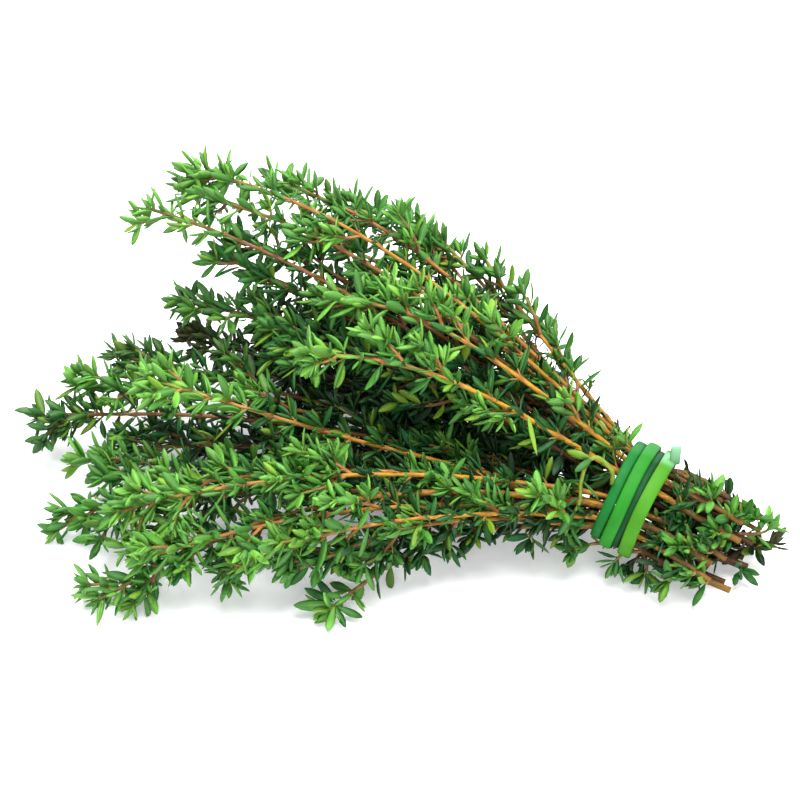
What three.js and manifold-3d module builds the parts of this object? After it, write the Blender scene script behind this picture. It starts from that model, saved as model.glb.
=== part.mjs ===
// A bunch of thyme lying on its side, tied near the cut ends with a wound rubber band.
// Millimetres, +Z up. Tips fan out towards -X, cut ends point towards +X, the ground is Z = 0.
import * as THREE from 'three';
import { mergeVertices } from 'three/addons/utils/BufferGeometryUtils.js';
import Module from 'manifold-3d';

// Where the bundle sits, so that its box is centred on the origin.
const PLACE = new THREE.Vector3(3.2, -12.7, 0);

// Tie: an ellipse across AXIS, which points from the cut ends to the tips. The stems run straight
// for HOLD on both sides of its centre, each in a slot of its own.
const TIE = new THREE.Vector3(53, -12, 15);
const AXIS = new THREE.Vector3(-0.888, 0.404, 0.222).normalize();
const SIDE = new THREE.Vector3().crossVectors(AXIS, new THREE.Vector3(0, 0, 1)).normalize();
const RISE = new THREE.Vector3().crossVectors(SIDE, AXIS);
const TIE_RISE = 10;
const TIE_SIDE = 12.6;
const HOLD = 7.5;
const STEM_ROOM = 1.85;
const SLOT_GAP = 2.85;
const SLOT_SPREAD = 0.9;
const SLOT_PASSES = 400;

// Sprigs: where the last leaf of each one ends (x, y, z), how far it arches up and how far it sways.
const SPRIGS = [
  [-64, 54, 51, 10, 0],
  [-55, 58, 53, 15, 0],
  [-53, 62, 57, 16, 0],
  [-34, 64, 53, 12, 0],
  [-15, 60, 50, 6, 0],
  [-3, 54, 51, 2, 0],
  [17, 40, 48.5, 0, 0],
  [7, 47, 48, 0.5, 0],
  [-47, 46, 43, 5, 0],
  [-42, 52, 44, 8, 0],
  [-19, 48, 46, 8, 0],
  [-19, 20, 50, 11, 0],
  [-57, 46, 29, 9, 0],
  [-56, 42, 20, 4, 0],
  [-25, 4, 46, 9, 0],
  [-61, 4, 38, -1, 0],
  [-82, 28, 16, 6, 0],
  [-73, 36, 19, 4, 0],
  [-91, 24, 9, 9, 0],
  [-80, 8, 9, 4, 0],
  [-68, 16, 6, 6, 0],
  [-65, -22, 21, 9, 0],
  [-57, -12, 18, 8, 0],
  [-82, -8.5, 7, 7, 0],
  [-73, -2, 12, 3, 0],
  [-72, -33, 2, 15, -3],
  [-62, -32, 14, 9, 0],
  [-20, -37, 2, 2.5, -7.5],
  [-37, -34, 16, 7, 0],
  [-28, -34, 12, 6, -2],
  [-44, 52, 0.6, 8, 0],
  [-22, 56, 24, 6, 0],
  [-52, 22, 0.6, 8, 0],
  [-34, 28, 34, 6, 0],
];
const TIP_LEAF = 4.5;
const BEND_PLACE = 0.58;
const WAVE_SIDE = 1.2;
const WAVE_RISE = 1;
const WAVE_SIDE_TURNS = 7;
const WAVE_RISE_TURNS = 8;
const COURSE_SMOOTHING = 3;
const FAN_POINTS = 26;
const BUTT_POINTS = 5;
const BUTT_SHORT = 7;
const BUTT_SPREAD = 17;
const BUTT_AIM = new THREE.Vector3(0.9, -0.36, -0.22).normalize();
const BUTT_SPLAY = 0.16;
const BUTT_DROOP = 0.9;

// Stems: thickest at the cut end, pushed STEM_GAP apart, those on the ground pressed a little flat.
const TIP_RADIUS = 0.5;
const BASE_RADIUS = [0.75, 1.3];
const TAPER = 1.1;
const STEM_GAP = 1.7;
const RELAX_PASSES = 60;
const FLOOR_PRESS = 0.8;
const STEM_SIDES = 4;
const PUSH_SHARE = 0.175;
const RINGS = [0, 3, 5, 7, 9, 12, 15, 18, 21, 25, 29, 32];

// Side shoots: one on each sprig, in the outer half, on its upper or far side.
const SHOOT_FROM = 5;
const SHOOT_CHOICES = 4;
const SHOOT_LENGTH = [8, 14];
const SHOOT_ANGLE = 0.6;
const SHOOT_TURN = 0.8 * Math.PI;
const SHOOT_RADIUS = 0.5;
const SHOOT_LOWEST = 1.5;
const SHOOT_BEND = 0.4;

// Leaves: angles in degrees from the stem, lengths in millimetres.
const LEAF_STEP = 9.1;
const LEAF_ANGLE = 50;
const LEAF_ANGLE_SPREAD = 14;
const LEAF_LENGTH = [6.5, 8.2];
const LEAF_WIDTH = 2.4;
const LEAF_THICK = 0.95;
const LEAF_MIDDLE = 0.48;
const LEAF_BOW = 0.09;
const LEAF_BALLS = [0.2, 0.35, 0.5, 0.65, 0.8, 0.97];
const LEAF_LOWEST = -0.9;
const TIP_LEAVES = [[20, 5.6, 0.85], [30, 5.2, 0.85]];
const BALL_STEP = 0.8;
const CLEAR = 0.5;
const TRY_TURNS = [0, 25, -25, 50, -50, 90, -90, 135, 180];
const TRY_LIFTS = [0, 18, -18];

// Draws: each sprig has streams of its own for its course, its side shoot and its leaves.
const SEED_STEP = 1000;
const COURSE_SEED = 17;
const SHOOT_SEED = 401;
const LEAF_SEED = 733;

// Rubber band: each turn's place along the axis and its height over the stems. It starts on the near
// side and moves on to the next turn between CROSS_FROM and CROSS_TO, in half turns. TAB is the
// doubled end that stands up at the top of one turn.
const TURNS = [[3.7, 0], [-1, 0], [-3.6, 0.95], [0.9, 0.95]];
const BAND_WIDTH = 2.6;
const BAND_THICK = 0.8;
const BAND_STEPS = 20;
const BAND_HALF = 5.2;
const BAND_START = -0.75 * Math.PI;
const BAND_OVERLAP = 1.01;
const CROSS_FROM = 1.35;
const CROSS_TO = 2;
const TAB_TURN = 2;
const TAB_ANGLE = 0.35;
const TAB_DEPTH = 1.2;
const TAB_HEIGHT = 4.2;
const TAB_WIDTH = 2.3;

const LEAF_GREEN = 0x3f7d2c;
const LEAF_ROUGHNESS = 0.6;
const BAND_GREEN = 0x3fae3a;
const BAND_ROUGHNESS = 0.45;

const wasm = await Module();
wasm.setup();

function stream(seed) {
  let state = seed >>> 0;
  return () => {
    state = (Math.imul(state, 1664525) + 1013904223) >>> 0;
    return state / 4294967296;
  };
}

function mix([low, high], share) {
  return low + (high - low) * share;
}

function along(origin, ...terms) {
  const point = origin.clone();
  terms.forEach(([direction, amount]) => point.addScaledVector(direction, amount));
  return point;
}

// Places in the tie: the directions of the sprigs, spread over the ellipse and pushed apart.
function slots() {
  const aims = SPRIGS.map(([x, y, z, arch]) => {
    const middle = new THREE.Vector3(x, y, z).add(TIE).multiplyScalar(0.5);
    middle.z += 1.5 * arch;
    const aim = middle.sub(TIE).normalize();
    return new THREE.Vector2(aim.dot(RISE), aim.dot(SIDE));
  });
  const box = new THREE.Box2().setFromPoints(aims);
  const centre = box.getCenter(new THREE.Vector2());
  const half = box.getSize(new THREE.Vector2()).multiplyScalar(0.5);
  const reach = new THREE.Vector2(TIE_RISE - STEM_ROOM, TIE_SIDE - STEM_ROOM);
  aims.forEach((aim) => aim.sub(centre).divide(half).multiply(reach).multiplyScalar(SLOT_SPREAD));
  for (let pass = 0; pass < SLOT_PASSES; pass += 1) {
    const moves = aims.map((aim) => {
      const move = new THREE.Vector2();
      aims.forEach((other) => {
        const apart = aim.distanceTo(other);
        if (other !== aim && apart < SLOT_GAP) {
          move.addScaledVector(aim.clone().sub(other), (SLOT_GAP - apart) / 4 / apart);
        }
      });
      return move;
    });
    aims.forEach((aim, index) => {
      aim.add(moves[index]);
      const share = Math.hypot(aim.x / reach.x, aim.y / reach.y);
      if (share > 1) aim.divideScalar(share);
    });
  }
  return aims;
}

function smooth(points, passes, share) {
  let line = points;
  for (let pass = 0; pass < passes; pass += 1) {
    const last = line;
    line = last.map((point, index) => {
      if (index === 0 || index === last.length - 1) return point.clone();
      const around = last[index - 1].clone().add(last[index + 1]);
      return point.clone().multiplyScalar(1 - 2 * share).addScaledVector(around, share);
    });
  }
  return line;
}

// The course of one stem from its cut end, through the tie, to its tip.
function course([x, y, z, arch, sway], slot, index) {
  const draw = stream(SEED_STEP * index + COURSE_SEED);
  const held = along(TIE, [RISE, slot.x], [SIDE, slot.y]);
  const front = along(held, [AXIS, HOLD]);
  const end = new THREE.Vector3(x, y, z);
  const tip = along(end, [front.clone().sub(end).normalize(), TIP_LEAF]);
  const back = along(held, [AXIS, -HOLD]);
  const base = mix(BASE_RADIUS, draw() ** 2);
  const length = BUTT_SHORT + BUTT_SPREAD * draw();
  const rise = BUTT_SPLAY * (draw() - 1 - BUTT_DROOP * slot.x / TIE_RISE);
  const side = BUTT_SPLAY * (slot.y / TIE_SIDE + draw() - 0.5);
  const aim = along(BUTT_AIM, [RISE, rise], [SIDE, side]).normalize();
  const chord = tip.clone().sub(front);
  const across = new THREE.Vector3(0, 0, 1).cross(chord).normalize();
  const bend = along(front, [chord, BEND_PLACE], [across, 2 * sway]);
  bend.z += 2 * arch;
  const phases = [2 * Math.PI * draw(), 2 * Math.PI * draw()];
  const points = [];
  for (let step = 0; step < BUTT_POINTS; step += 1) {
    points.push(along(back, [aim, length * (1 - step / BUTT_POINTS)]));
  }
  points.push(back, held);
  for (let step = 0; step < FAN_POINTS; step += 1) {
    const t = step / (FAN_POINTS - 1);
    const swell = Math.sin(t * Math.PI);
    const point = new THREE.Vector3();
    point.addScaledVector(front, (1 - t) * (1 - t));
    point.addScaledVector(bend, 2 * t * (1 - t));
    point.addScaledVector(tip, t * t);
    point.addScaledVector(across, WAVE_SIDE * swell * Math.sin(WAVE_SIDE_TURNS * t + phases[0]));
    point.z += WAVE_RISE * swell * Math.sin(WAVE_RISE_TURNS * t + phases[1]);
    points.push(point);
  }
  const line = smooth(points, COURSE_SMOOTHING, 0.25);
  return { line, radii: taper(line, base) };
}

function taper(line, base) {
  const reach = [0];
  line.slice(1).forEach((point, index) => reach.push(reach[index] + point.distanceTo(line[index])));
  const total = reach[reach.length - 1];
  return reach.map((value) => TIP_RADIUS + (base - TIP_RADIUS) * (1 - value / total) ** TAPER);
}

// Pushes stems apart wherever they come close; the stretch inside the tie stays where it is.
function relax(stems) {
  const held = [BUTT_POINTS, BUTT_POINTS + 1, BUTT_POINTS + 2];
  for (let pass = 0; pass < RELAX_PASSES; pass += 1) {
    const flat = stems.flatMap((stem, owner) => (
      stem.line.map((point, index) => ({ point, owner, radius: stem.radii[index] }))
    ));
    const moves = flat.map(() => new THREE.Vector3());
    for (let a = 0; a < flat.length; a += 1) {
      for (let b = 0; b < a; b += 1) {
        const need = flat[a].radius + flat[b].radius + STEM_GAP;
        const apart = flat[a].owner === flat[b].owner ? need : flat[a].point.distanceTo(flat[b].point);
        if (apart < need) {
          const push = flat[a].point.clone().sub(flat[b].point);
          push.multiplyScalar(PUSH_SHARE * (need - apart) / Math.max(apart, 1e-6));
          moves[a].add(push);
          moves[b].sub(push);
        }
      }
    }
    let offset = 0;
    stems.forEach((stem) => {
      const kept = held.map((index) => stem.line[index]);
      const pushed = stem.line.map((point, index) => point.clone().add(moves[offset + index]));
      offset += stem.line.length;
      stem.line = smooth(pushed, 1, 0.2);
      held.forEach((index, place) => {
        stem.line[index] = kept[place];
      });
      stem.line.forEach((point, index) => {
        point.z = Math.max(point.z, FLOOR_PRESS * stem.radii[index]);
      });
    });
  }
}

// A tapered tube that follows the line, one ring of the cylinder for each point of the line.
function tube(line, radii, sides) {
  const segments = line.length - 1;
  const geometry = new THREE.CylinderGeometry(1, 1, 1, sides, segments);
  const frames = line.map((point, index) => {
    const before = line[Math.max(index - 1, 0)];
    const after = line[Math.min(index + 1, segments)];
    const forward = after.clone().sub(before).normalize();
    const right = new THREE.Vector3().crossVectors(forward, new THREE.Vector3(0, 0, 1)).normalize();
    const up = new THREE.Vector3().crossVectors(right, forward);
    return { point, right, up, radius: radii[index] };
  });
  const position = geometry.attributes.position;
  for (let index = 0; index < position.count; index += 1) {
    const row = Math.round((position.getY(index) + 0.5) * segments);
    const { point, right, up, radius } = frames[row];
    const across = radius * position.getX(index);
    const raised = radius * position.getZ(index);
    const placed = along(point, [right, across], [up, raised]);
    position.setXYZ(index, placed.x, placed.y, placed.z);
  }
  return geometry;
}

function solid(geometry) {
  geometry.deleteAttribute('normal');
  geometry.deleteAttribute('uv');
  const merged = mergeVertices(geometry, 1e-4);
  return new wasm.Manifold(new wasm.Mesh({
    numProp: 3,
    vertProperties: new Float32Array(merged.attributes.position.array),
    triVerts: new Uint32Array(merged.index.array),
  }));
}

// A pointed blade: flat on top, keeled below, widest near its middle and bowed along its length.
function blade({ root, aim, face, length, scale }) {
  const across = new THREE.Vector3().crossVectors(aim, face).normalize();
  const up = new THREE.Vector3().crossVectors(across, aim);
  const geometry = new THREE.SphereGeometry(1, 3, 2);
  const position = geometry.attributes.position;
  for (let index = 0; index < position.count; index += 1) {
    const share = 0.5 * (position.getY(index) + 1);
    const middle = Math.abs(share - 0.5) < 0.1;
    const reach = middle ? LEAF_MIDDLE : share;
    const sideways = middle ? -position.getZ(index) * LEAF_WIDTH * scale / Math.sqrt(3) : 0;
    const lifted = middle ? position.getX(index) * LEAF_THICK * scale / 1.5 + LEAF_BOW * length : 0;
    const placed = along(root, [aim, reach * length], [across, sideways], [up, lifted]);
    position.setXYZ(index, placed.x, placed.y, placed.z);
  }
  return geometry;
}

// Everything placed so far, as balls in a coarse grid, for keeping sprigs clear of each other.
const CELL = 4;
const cells = new Map();

function cellKey(x, y, z) {
  return `${x},${y},${z}`;
}

function fill(ball) {
  const key = cellKey(...ball.at.toArray().map((value) => Math.floor(value / CELL)));
  if (!cells.has(key)) cells.set(key, []);
  cells.get(key).push(ball);
}

function free(ball) {
  const shift = ball.at.clone().sub(TIE);
  const inBand = Math.abs(shift.dot(AXIS)) < BAND_HALF + ball.radius + CLEAR;
  if (inBand && shift.length() < 2 * TIE_SIDE) return false;
  const [x, y, z] = ball.at.toArray().map((value) => Math.floor(value / CELL));
  for (let i = x - 1; i <= x + 1; i += 1) {
    for (let j = y - 1; j <= y + 1; j += 1) {
      for (let k = z - 1; k <= z + 1; k += 1) {
        const near = cells.get(cellKey(i, j, k)) ?? [];
        const hit = near.some((other) => (
          other.owner !== ball.owner
          && other.at.distanceTo(ball.at) < other.radius + ball.radius + CLEAR
        ));
        if (hit) return false;
      }
    }
  }
  return true;
}

function rowOfBalls(from, to, fromRadius, toRadius, owner) {
  const count = Math.max(2, Math.ceil(from.distanceTo(to) / BALL_STEP) + 1);
  return Array.from({ length: count }, (_, index) => {
    const share = index / (count - 1);
    const radius = fromRadius + (toRadius - fromRadius) * share;
    return { at: from.clone().lerp(to, share), radius, owner };
  });
}

function leafBalls({ root, aim, face, length, scale }, owner) {
  return LEAF_BALLS.map((share) => {
    const half = LEAF_WIDTH * scale * 0.5;
    const radius = share < 0.5 ? half * (0.5 + share) : half * (1 - share) * 2;
    const bow = LEAF_BOW * length * (1 - Math.abs(share - 0.5) * 2);
    return { at: along(root, [aim, share * length], [face, bow]), radius, owner };
  });
}

// A direction that leaves the stem at an angle, turned about it.
function lean(forward, turn, angle) {
  const right = new THREE.Vector3().crossVectors(forward, new THREE.Vector3(0, 0, 1)).normalize();
  const up = new THREE.Vector3().crossVectors(right, forward);
  const outward = right.multiplyScalar(Math.cos(turn)).addScaledVector(up, Math.sin(turn));
  return along(forward.clone().multiplyScalar(Math.cos(angle)), [outward, Math.sin(angle)]);
}

function growLeaf(sprig, at, forward, turn, angle, length, scale) {
  for (const lift of TRY_LIFTS) {
    for (const tryTurn of TRY_TURNS) {
      const open = THREE.MathUtils.degToRad(angle + lift);
      const aim = lean(forward, turn + THREE.MathUtils.degToRad(tryTurn), open);
      const face = forward.clone().sub(aim.clone().multiplyScalar(aim.dot(forward)));
      if (face.length() < 0.1) face.set(0, 0, 1);
      face.normalize();
      const leaf = { root: at, aim, face, length, scale };
      const balls = leafBalls(leaf, sprig.owner);
      const low = along(at, [aim, length]).z < LEAF_LOWEST;
      if (!low && balls.every(free)) {
        balls.forEach(fill);
        sprig.parts.push(blade(leaf));
        return;
      }
    }
  }
}

// Leaves stand in turn on the four sides of a stem, close at its tip.
function dress(sprig, line, first, draw) {
  let until = first;
  let number = Math.floor(4 * draw());
  for (let index = 1; index < line.length; index += 1) {
    const span = line[index].distanceTo(line[index - 1]);
    const forward = line[index].clone().sub(line[index - 1]).normalize();
    while (until < span) {
      const at = line[index - 1].clone().lerp(line[index], until / span);
      const quarter = 2 * (number % 2) + (Math.floor(number / 2) % 2);
      const turn = (quarter + 0.5) * 0.5 * Math.PI + 0.3 * (draw() - 0.5);
      const angle = LEAF_ANGLE + LEAF_ANGLE_SPREAD * (draw() - 0.5);
      growLeaf(sprig, at, forward, turn, angle, mix(LEAF_LENGTH, draw()), 1);
      until += LEAF_STEP * (0.85 + 0.3 * draw());
      number += 1;
    }
    until -= span;
  }
  const end = line[line.length - 1];
  const forward = end.clone().sub(line[line.length - 2]).normalize();
  const at = along(end, [forward, -BALL_STEP]);
  TIP_LEAVES.forEach(([angle, length, scale], side) => {
    growLeaf(sprig, at, forward, (draw() + side) * Math.PI, angle, length, scale);
  });
}

function growShoot(sprig, at, forward, turn, length) {
  for (const tryTurn of TRY_TURNS) {
    const aim = lean(forward, turn + THREE.MathUtils.degToRad(tryTurn), SHOOT_ANGLE);
    const middle = along(at, [aim, 0.5 * length]);
    const end = along(middle, [aim.clone().lerp(forward, SHOOT_BEND).normalize(), 0.5 * length]);
    const radii = [SHOOT_RADIUS, SHOOT_RADIUS, 0.75 * SHOOT_RADIUS];
    const balls = [
      ...rowOfBalls(at, middle, radii[0], radii[1], sprig.owner),
      ...rowOfBalls(middle, end, radii[1], radii[2], sprig.owner),
    ];
    if (end.z > SHOOT_LOWEST && balls.every(free)) {
      balls.forEach(fill);
      sprig.parts.push(tube([at, middle, end], radii, 3));
      sprig.shoots.push([at, middle, end]);
      return;
    }
  }
}

function growSprigs() {
  const places = slots();
  const stems = SPRIGS.map((row, index) => course(row, places[index], index));
  relax(stems);
  const sprigs = stems.map((stem, owner) => {
    const line = RINGS.map((ring) => stem.line[ring]);
    const radii = RINGS.map((ring) => stem.radii[ring]);
    line.slice(1).forEach((point, index) => {
      rowOfBalls(line[index], point, radii[index], radii[index + 1], owner).forEach(fill);
    });
    return { owner, line, radii, parts: [tube(line, radii, STEM_SIDES)], shoots: [] };
  });
  sprigs.forEach((sprig) => {
    const draw = stream(SEED_STEP * sprig.owner + SHOOT_SEED);
    const index = SHOOT_FROM + Math.floor(SHOOT_CHOICES * draw());
    const at = sprig.line[index].clone().lerp(sprig.line[index + 1], draw());
    const forward = sprig.line[index + 1].clone().sub(sprig.line[index]).normalize();
    growShoot(sprig, at, forward, SHOOT_TURN * draw(), mix(SHOOT_LENGTH, draw()));
  });
  sprigs.forEach((sprig) => {
    const draw = stream(SEED_STEP * sprig.owner + LEAF_SEED);
    dress(sprig, sprig.line, 0.5 * LEAF_STEP * (1 + draw()), draw);
    sprig.shoots.forEach((shoot) => dress(sprig, shoot, 0.5 * LEAF_STEP, draw));
  });
  return sprigs;
}

function fuse(geometries) {
  const whole = wasm.Manifold.union(geometries.map(solid)).trimByPlane([0, 0, 1], 0);
  const bodies = whole.decompose();
  bodies.sort((a, b) => b.volume() - a.volume());
  return bodies[0];
}

function bandPoint(angle, shift, height) {
  const rise = (TIE_RISE + 0.5 * BAND_THICK + height) * Math.cos(angle);
  const side = (TIE_SIDE + 0.5 * BAND_THICK + height) * Math.sin(angle);
  return along(TIE, [AXIS, shift], [RISE, rise], [SIDE, side]);
}

// One stretch of flat strap round the tie; the strap shifts to its next turn on the hidden side.
function strap(turn, half) {
  const [shift, height] = TURNS[turn];
  const [nextShift, nextHeight] = TURNS[(turn + 1) % TURNS.length];
  const steps = BAND_STEPS / 2;
  const geometry = new THREE.CylinderGeometry(1, 1, 1, 4, steps);
  const position = geometry.attributes.position;
  for (let index = 0; index < position.count; index += 1) {
    const share = position.getY(index) + 0.5;
    const angle = BAND_START + Math.PI * (half + share * BAND_OVERLAP);
    const cross = THREE.MathUtils.smoothstep(half + share, CROSS_FROM, CROSS_TO);
    const middleShift = shift + (nextShift - shift) * cross;
    const middleHeight = height + (nextHeight - height) * cross;
    const centre = bandPoint(angle, middleShift, middleHeight);
    const outward = centre.clone().sub(along(TIE, [AXIS, middleShift])).normalize();
    const corner = Math.atan2(position.getX(index), position.getZ(index)) + 0.25 * Math.PI;
    const wide = Math.sign(Math.sin(corner)) * 0.5 * BAND_WIDTH;
    const deep = Math.sign(Math.cos(corner)) * 0.5 * BAND_THICK;
    const flat = Math.hypot(position.getX(index), position.getZ(index)) < 0.5;
    const placed = flat ? centre : along(centre, [AXIS, -wide], [outward, deep]);
    position.setXYZ(index, placed.x, placed.y, placed.z);
  }
  return geometry;
}

function tab() {
  const foot = bandPoint(TAB_ANGLE, ...TURNS[TAB_TURN]);
  const geometry = new THREE.BoxGeometry(TAB_WIDTH, TAB_DEPTH, TAB_HEIGHT);
  geometry.translate(0, 0, 0.5 * (TAB_HEIGHT - TAB_DEPTH));
  geometry.translate(foot.x, foot.y, foot.z);
  return geometry;
}

function bandParts() {
  const parts = TURNS.flatMap((_, turn) => [strap(turn, 0), strap(turn, 1)]);
  parts.push(tab());
  return parts;
}

function mesh(name, body, colour, roughness) {
  const { vertProperties, triVerts } = body.getMesh();
  const geometry = new THREE.BufferGeometry();
  geometry.setAttribute('position', new THREE.BufferAttribute(new Float32Array(vertProperties), 3));
  geometry.setIndex(new THREE.BufferAttribute(new Uint32Array(triVerts), 1));
  geometry.translate(PLACE.x, PLACE.y, PLACE.z);
  geometry.computeVertexNormals();
  const result = new THREE.Mesh(geometry, new THREE.MeshStandardMaterial({ color: colour, roughness }));
  result.name = name;
  return result;
}

const bundle = new THREE.Group();
growSprigs().forEach((sprig) => {
  const name = `sprig_${String(sprig.owner + 1).padStart(2, '0')}`;
  bundle.add(mesh(name, fuse(sprig.parts), LEAF_GREEN, LEAF_ROUGHNESS));
});
bundle.add(mesh('rubber_band', fuse(bandParts()), BAND_GREEN, BAND_ROUGHNESS));

export default bundle;
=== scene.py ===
import collections
import math

import bpy
import numpy as np
from numpy import concatenate as joined
from numpy.linalg import norm
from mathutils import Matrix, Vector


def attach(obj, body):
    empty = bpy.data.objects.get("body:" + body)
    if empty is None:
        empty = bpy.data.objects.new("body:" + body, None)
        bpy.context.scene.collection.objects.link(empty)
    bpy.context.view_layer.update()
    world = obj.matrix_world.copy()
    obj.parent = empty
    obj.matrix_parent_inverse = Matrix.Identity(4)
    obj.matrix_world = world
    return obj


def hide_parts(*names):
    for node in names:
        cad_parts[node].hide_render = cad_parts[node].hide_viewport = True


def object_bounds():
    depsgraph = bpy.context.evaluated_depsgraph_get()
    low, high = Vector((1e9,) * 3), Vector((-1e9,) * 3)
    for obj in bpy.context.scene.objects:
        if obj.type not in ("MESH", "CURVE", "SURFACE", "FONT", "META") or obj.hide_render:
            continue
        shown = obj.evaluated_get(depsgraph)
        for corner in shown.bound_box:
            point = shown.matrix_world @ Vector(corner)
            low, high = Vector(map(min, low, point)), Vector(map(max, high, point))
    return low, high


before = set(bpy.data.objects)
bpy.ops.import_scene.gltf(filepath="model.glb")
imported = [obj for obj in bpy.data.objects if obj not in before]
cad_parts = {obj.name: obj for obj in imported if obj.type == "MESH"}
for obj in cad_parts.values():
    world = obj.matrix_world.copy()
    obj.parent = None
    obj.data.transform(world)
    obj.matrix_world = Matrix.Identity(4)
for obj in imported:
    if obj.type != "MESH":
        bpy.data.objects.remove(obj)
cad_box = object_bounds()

# A bunch of thyme, tied near the cut ends with a wound rubber band. Lengths are millimetres until a mesh is
# made, and PLACE then moves the bunch to where the solids have it.
MM = 0.001
PLACE = np.array([3.2, -12.7, 0.0])
UP = np.array([0.0, 0.0, 1.0])
QUARTER = 0.5 * math.pi


def unit(vector):
    return vector / norm(vector)


def units(rows):
    return rows / norm(rows, axis=1, keepdims=True)


def mix(start, end, share):
    return start + (end - start) * share


def smoothstep(value, low, high):
    t = np.clip((value - low) / (high - low), 0, 1)
    return t * t * (3 - 2 * t)


# Tie: an ellipse across AXIS, which points from the cut ends to the tips. Each stem has a slot in it.
TIE = np.array([53.0, -12.0, 15.0])
AXIS = unit(np.array([-0.888, 0.404, 0.222]))
SIDE = unit(np.cross(AXIS, UP))
RISE = np.cross(SIDE, AXIS)
TIE_RISE, TIE_SIDE, HOLD = 10, 12.6, 7.5
STEM_ROOM, SLOT_GAP, SLOT_SPREAD = 1.85, 2.85, 0.9
SLOT_PASSES, SLOT_PUSH, AIM_LIFT = 400, 0.25, 1.5

# Sprigs: where the last leaf of each one ends (x, y, z) and how far it arches up. Three also sway sideways.
SPRIGS = [
    (-64, 54, 51, 10), (-55, 58, 53, 15), (-53, 62, 57, 16), (-34, 64, 53, 12), (-15, 60, 50, 6),
    (-3, 54, 51, 2), (17, 40, 48.5, 0), (7, 47, 48, 0.5), (-47, 46, 43, 5), (-42, 52, 44, 8),
    (-19, 48, 46, 8), (-19, 20, 50, 11), (-57, 46, 29, 9), (-56, 42, 20, 4), (-25, 4, 46, 9),
    (-61, 4, 38, -1), (-82, 28, 16, 6), (-73, 36, 19, 4), (-91, 24, 9, 9), (-80, 8, 9, 4), (-68, 16, 6, 6),
    (-65, -22, 21, 9), (-57, -12, 18, 8), (-82, -8.5, 7, 7), (-73, -2, 12, 3), (-72, -33, 2, 15),
    (-62, -32, 14, 9), (-20, -37, 2, 2.5), (-37, -34, 16, 7), (-28, -34, 12, 6), (-44, 52, 0.6, 8),
    (-22, 56, 24, 6), (-52, 22, 0.6, 8), (-34, 28, 34, 6),
]
SWAYS = {26: -3, 28: -7.5, 30: -2}
TIP_LEAF = 4.5
BEND_PLACE, BEND_REACH = 0.58, 2
WAVE_SIDE, WAVE_RISE = 1.2, 1
WAVE_SIDE_TURNS, WAVE_RISE_TURNS = 7, 8
COURSE_SMOOTHING, COURSE_SHARE = 3, 0.25
FAN_POINTS, BUTT_POINTS = 26, 5
BUTT_SHORT, BUTT_SPREAD, BUTT_SPLAY, BUTT_DROOP = 7, 17, 0.16, 0.9
BUTT_AIM = unit(np.array([0.9, -0.36, -0.22]))
TIP_RADIUS, BASE_RADIUS, TAPER = 0.5, (0.75, 1.3), 1.1
STEM_GAP, RELAX_PASSES, RELAX_SHARE, FLOOR_PRESS, PUSH_SHARE = 1.7, 60, 0.2, 0.8, 0.175
RINGS = [0, 3, 5, 7, 9, 12, 15, 18, 21, 25, 29, 32]

# The side shoot that each solid has.
SHOOT_FROM, SHOOT_CHOICES, SHOOT_LENGTH, SHOOT_ANGLE = 5, 4, (8, 14), 0.6
SHOOT_TURN, SHOOT_RADIUS, SHOOT_TAPER, SHOOT_LOWEST, SHOOT_BEND = 0.8 * math.pi, 0.5, 0.75, 1.5, 0.4
BALL_STEP, CLEAR = 0.8, 0.5
TRY_TURNS = (0, 25, -25, 50, -50, 90, -90, 135, 180)

# Draws: each sprig has streams of its own for its course, its side shoot and its leaves.
DRAW_FACTOR, DRAW_STEP, DRAW_SIZE = 1664525, 1013904223, 2 ** 32
SEED_STEP, COURSE_SEED, SHOOT_SEED, GROWTH_SEED, BAND_SEED = 1000, 17, 401, 733, 99

# Rubber band: each turn's place along the axis and its height over the stems.
TURNS = [(3.7, 0), (-1, 0), (-3.6, 0.95), (0.9, 0.95)]
BAND_WIDTH, BAND_THICK, BAND_HALF = 2.6, 0.8, 5.2
BAND_START = -0.75 * math.pi
CROSS_FROM, CROSS_TO = 1.35, 2
TAB_TURN, TAB_ANGLE, TAB_DEPTH, TAB_HEIGHT, TAB_WIDTH = 2, 0.35, 1.2, 4.2, 2.3


class Draws:
    """Seeded numbers, the same on every run."""

    def __init__(self, seed):
        self.state = seed

    def __call__(self, low=0.0, high=1.0):
        self.state = (self.state * DRAW_FACTOR + DRAW_STEP) % DRAW_SIZE
        return low + (high - low) * self.state / DRAW_SIZE

    def either(self, most):
        return self(-most, most)


# ---- Courses of the stems, as the solids have them

def slots():
    """Each sprig's place in the tie, by its direction, pushed apart."""
    rows = np.array(SPRIGS, float)
    middle = (rows[:, :3] + TIE) / 2
    middle[:, 2] += AIM_LIFT * rows[:, 3]
    aim = units(middle - TIE)
    aims = np.stack([aim @ RISE, aim @ SIDE], 1)
    low, high = aims.min(0), aims.max(0)
    reach = np.array([TIE_RISE, TIE_SIDE]) - STEM_ROOM
    aims = (aims - (low + high) / 2) / ((high - low) / 2) * reach * SLOT_SPREAD
    for _ in range(SLOT_PASSES):
        gap = aims[:, None] - aims[None]
        apart = norm(gap, axis=2)
        np.fill_diagonal(apart, SLOT_GAP)
        push = SLOT_PUSH * np.clip(SLOT_GAP - apart, 0, None) / apart
        aims = aims + (gap * push[..., None]).sum(1)
        aims /= np.maximum(norm(aims / reach, axis=1), 1)[:, None]
    return aims


def smoothed(lines, passes, share):
    """Moves the inner points of each line towards their neighbours."""
    lines = np.array(lines, float)
    for _ in range(passes):
        inner = (1 - 2 * share) * lines[..., 1:-1, :] + share * (lines[..., :-2, :] + lines[..., 2:, :])
        lines = joined([lines[..., :1, :], inner, lines[..., -1:, :]], axis=-2)
    return lines


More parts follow.
